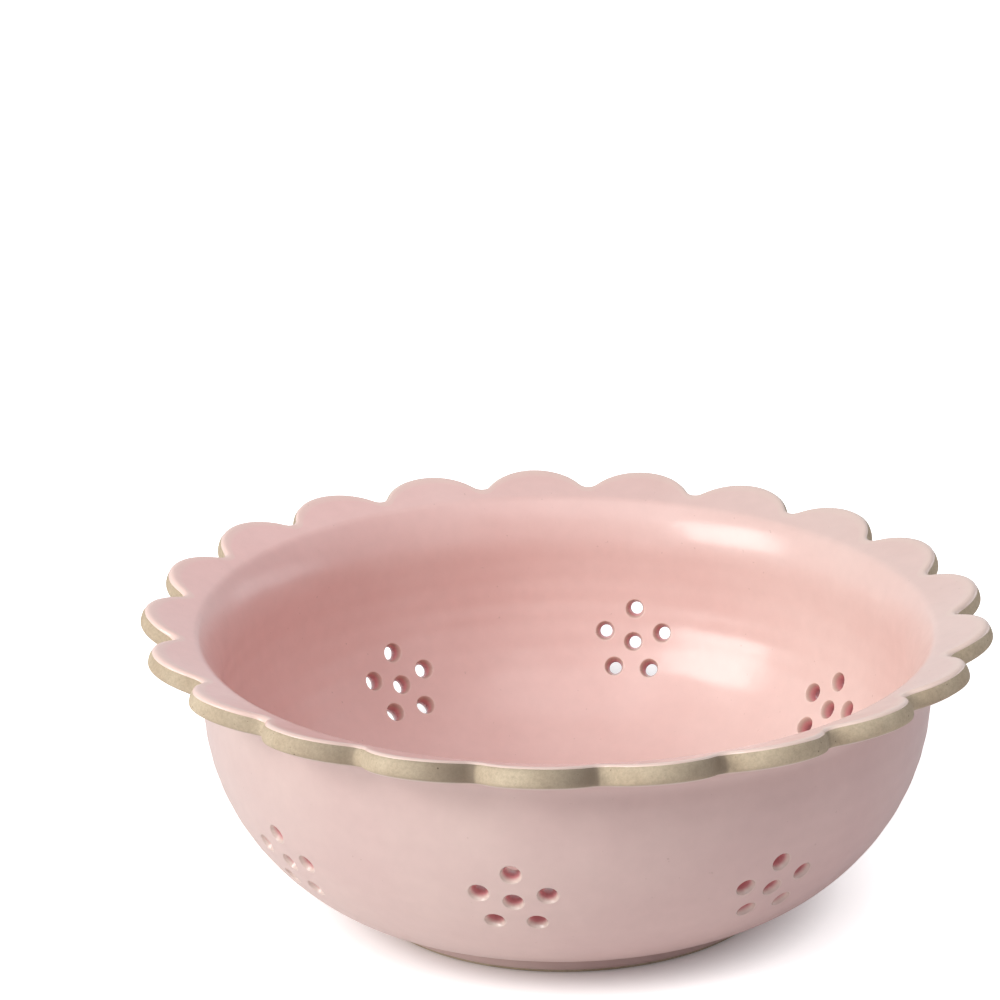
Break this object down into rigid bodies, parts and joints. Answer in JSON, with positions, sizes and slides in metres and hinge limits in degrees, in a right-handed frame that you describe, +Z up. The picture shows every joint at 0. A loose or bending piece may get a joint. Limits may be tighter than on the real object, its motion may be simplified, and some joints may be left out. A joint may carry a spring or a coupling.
{
  "type": "berry colander bowl",
  "caption": "Round stoneware berry bowl on a low foot ring, with a turned-out scalloped rim and pierced flower-shaped groups of drain holes around the wall.",
  "frame": {"origin": "centre of the foot's rest face on the table", "axes": "+Z up along the bowl's axis; -Y is the front seen in the picture; a notch of the rim lies on +X"},
  "size_m": [0.2019, 0.2024, 0.0752],
  "materials": {
    "bare_clay": "bare fired stoneware, matt and slightly gritty",
    "inner_glaze": "glossy rose-pink glaze, deeper than outside",
    "rim_glaze": "glossy pale pink glaze",
    "outer_glaze": "satin-gloss pale pink glaze with soft pooling"
  },
  "bodies": {
    "root": {"foot_ring": "bare_clay", "base_floor": "bare_clay", "bowl_wall": "bare_clay", "scalloped_flange": "bare_clay", "inner_glaze": "inner_glaze", "flange_top_glaze": "rim_glaze", "flange_under_glaze": "outer_glaze", "outer_glaze": "outer_glaze", "base_glaze": "outer_glaze"}
  },
  "joints": []
}
